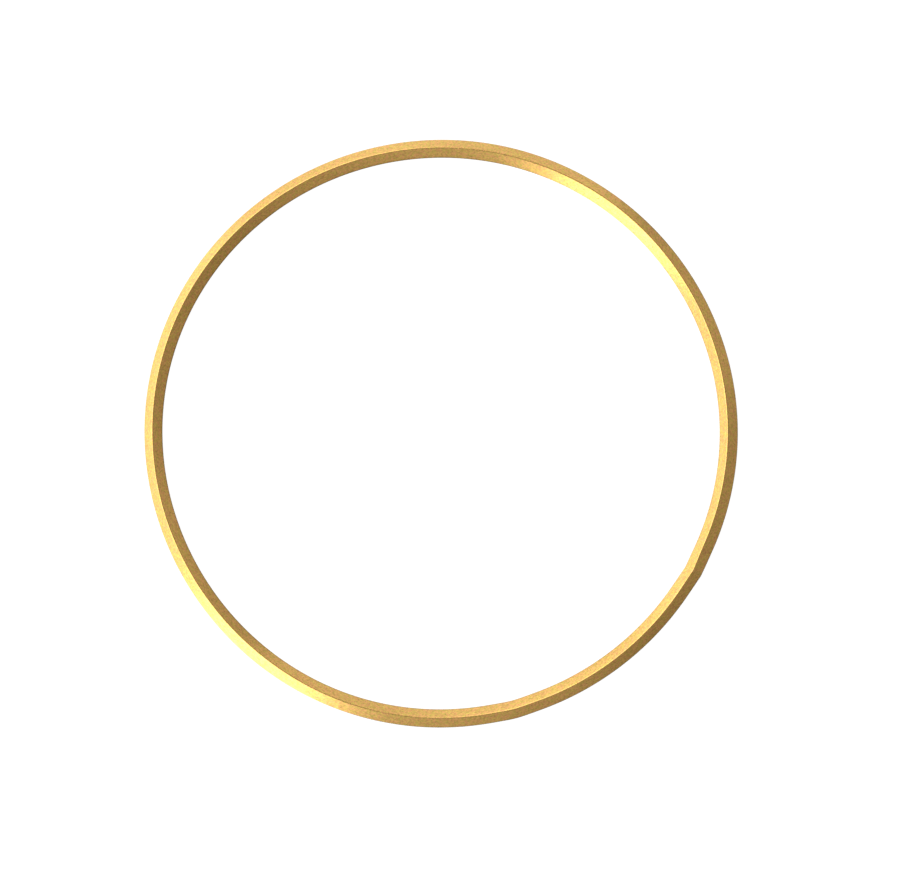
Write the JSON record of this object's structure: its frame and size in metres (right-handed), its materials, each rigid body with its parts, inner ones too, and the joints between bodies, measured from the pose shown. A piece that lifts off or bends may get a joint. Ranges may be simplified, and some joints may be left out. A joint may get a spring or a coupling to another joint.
{
  "type": "wreath frame",
  "caption": "Plain round hoop of square brass bar set on its diagonal and closed by a ground weld, used as a wreath base that greenery is bound to.",
  "frame": {"origin": "on the surface that the hoop lies on, below the middle of its outline", "axes": "+Z along the hoop's axis, up from the surface; -Y towards the closing joint; +Y towards the point that is at the top when the hoop hangs with its joint at the bottom"},
  "size_m": [0.212, 0.2146, 0.0065],
  "materials": {
    "brass_bar": "satin, lightly grained along the bar",
    "weld_metal": "ground flush and rubbed down to satin"
  },
  "bodies": {
    "root": {"hoop_bar": "brass_bar", "weld_fill": "weld_metal"}
  },
  "joints": []
}
